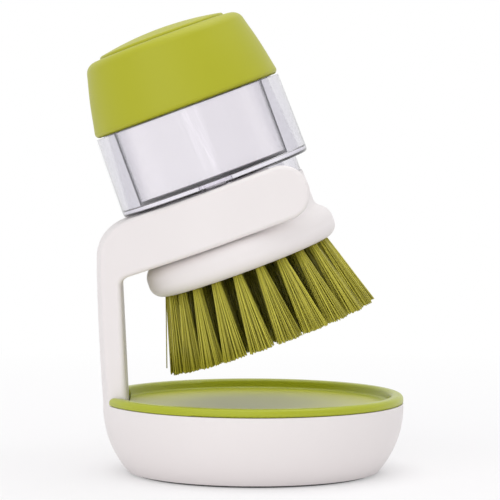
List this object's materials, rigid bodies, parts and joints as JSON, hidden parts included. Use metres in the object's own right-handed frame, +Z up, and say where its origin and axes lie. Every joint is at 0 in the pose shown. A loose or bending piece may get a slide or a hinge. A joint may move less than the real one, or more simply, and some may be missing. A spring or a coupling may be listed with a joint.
{
  "type": "soap-dispensing palm brush with stand",
  "caption": "Round palm scrubbing brush with a clear soap reservoir and push-button cap, resting tilted in a forked stand with a lift-out drip tray.",
  "frame": {"origin": "middle of the face that the foot ring rests on", "axes": "+Z up from the table; the arm stands on the -X side and the fork opens towards +X; the stand is symmetric about the XZ plane"},
  "size_m": [0.1054, 0.1, 0.1528],
  "materials": {
    "white_plastic": "satin moulded white plastic",
    "green_plastic": "satin moulded olive-green plastic",
    "clear_plastic": "polished clear plastic",
    "bristle_nylon": "olive-green nylon filament",
    "soft_seal": "milky silicone",
    "foot_rubber": "soft grey elastomer",
    "steel_wire": "bright drawn stainless wire"
  },
  "bodies": {
    "stand": {"stand_body": "white_plastic", "foot_ring": "foot_rubber"},
    "tray": {"drip_tray": "green_plastic"},
    "brush": {"brush_head": "white_plastic", "tuft_staples": "steel_wire", "outer_tufts": "bristle_nylon", "middle_tufts": "bristle_nylon", "inner_tufts": "bristle_nylon", "outlet_valve": "soft_seal", "valve_retainer": "white_plastic", "outlet_seal": "soft_seal", "clear_shell": "clear_plastic", "soap_cup": "clear_plastic"},
    "cap_washer": {"cap_gasket": "soft_seal"},
    "cap": {"cap_shell": "green_plastic", "cap_insert": "white_plastic", "pump_diaphragm": "soft_seal", "diaphragm_clamp": "white_plastic", "clamp_screws": "steel_wire", "return_spring": "steel_wire", "air_valve": "soft_seal"},
    "button": {"push_button": "green_plastic"}
  },
  "joints": [
    {"name": "brush_draw", "type": "slide", "parent": "stand", "child": "brush", "axis": [0.9373, 0, 0.3486], "range_m": [0, 0.065]},
    {"name": "tray_lift", "type": "slide", "parent": "stand", "child": "tray", "axis": [0, 0, 1], "range_m": [0, 0.006]},
    {"name": "cap_lift", "type": "slide", "parent": "brush", "child": "cap_washer", "axis": [-0.3486, 0, 0.9373], "range_m": [0, 0.006]},
    {"name": "cap_twist", "type": "hinge", "parent": "cap_washer", "child": "cap", "pos_m": [-0.02216, 0, 0.12147], "axis": [-0.3486, 0, 0.9373], "range_deg": [0, 360]},
    {"name": "button_press", "type": "slide", "parent": "cap", "child": "button", "axis": [0.3486, 0, -0.9373], "range_m": [0, 0.0035], "stiffness_N_per_m": 600, "springref_m": -0.002, "deforming": ["return_spring", "pump_diaphragm"]}
  ],
  "couplings": [
    {"joint": "cap_lift", "follows": "cap_twist", "m_per_rad": 0.000954}
  ]
}
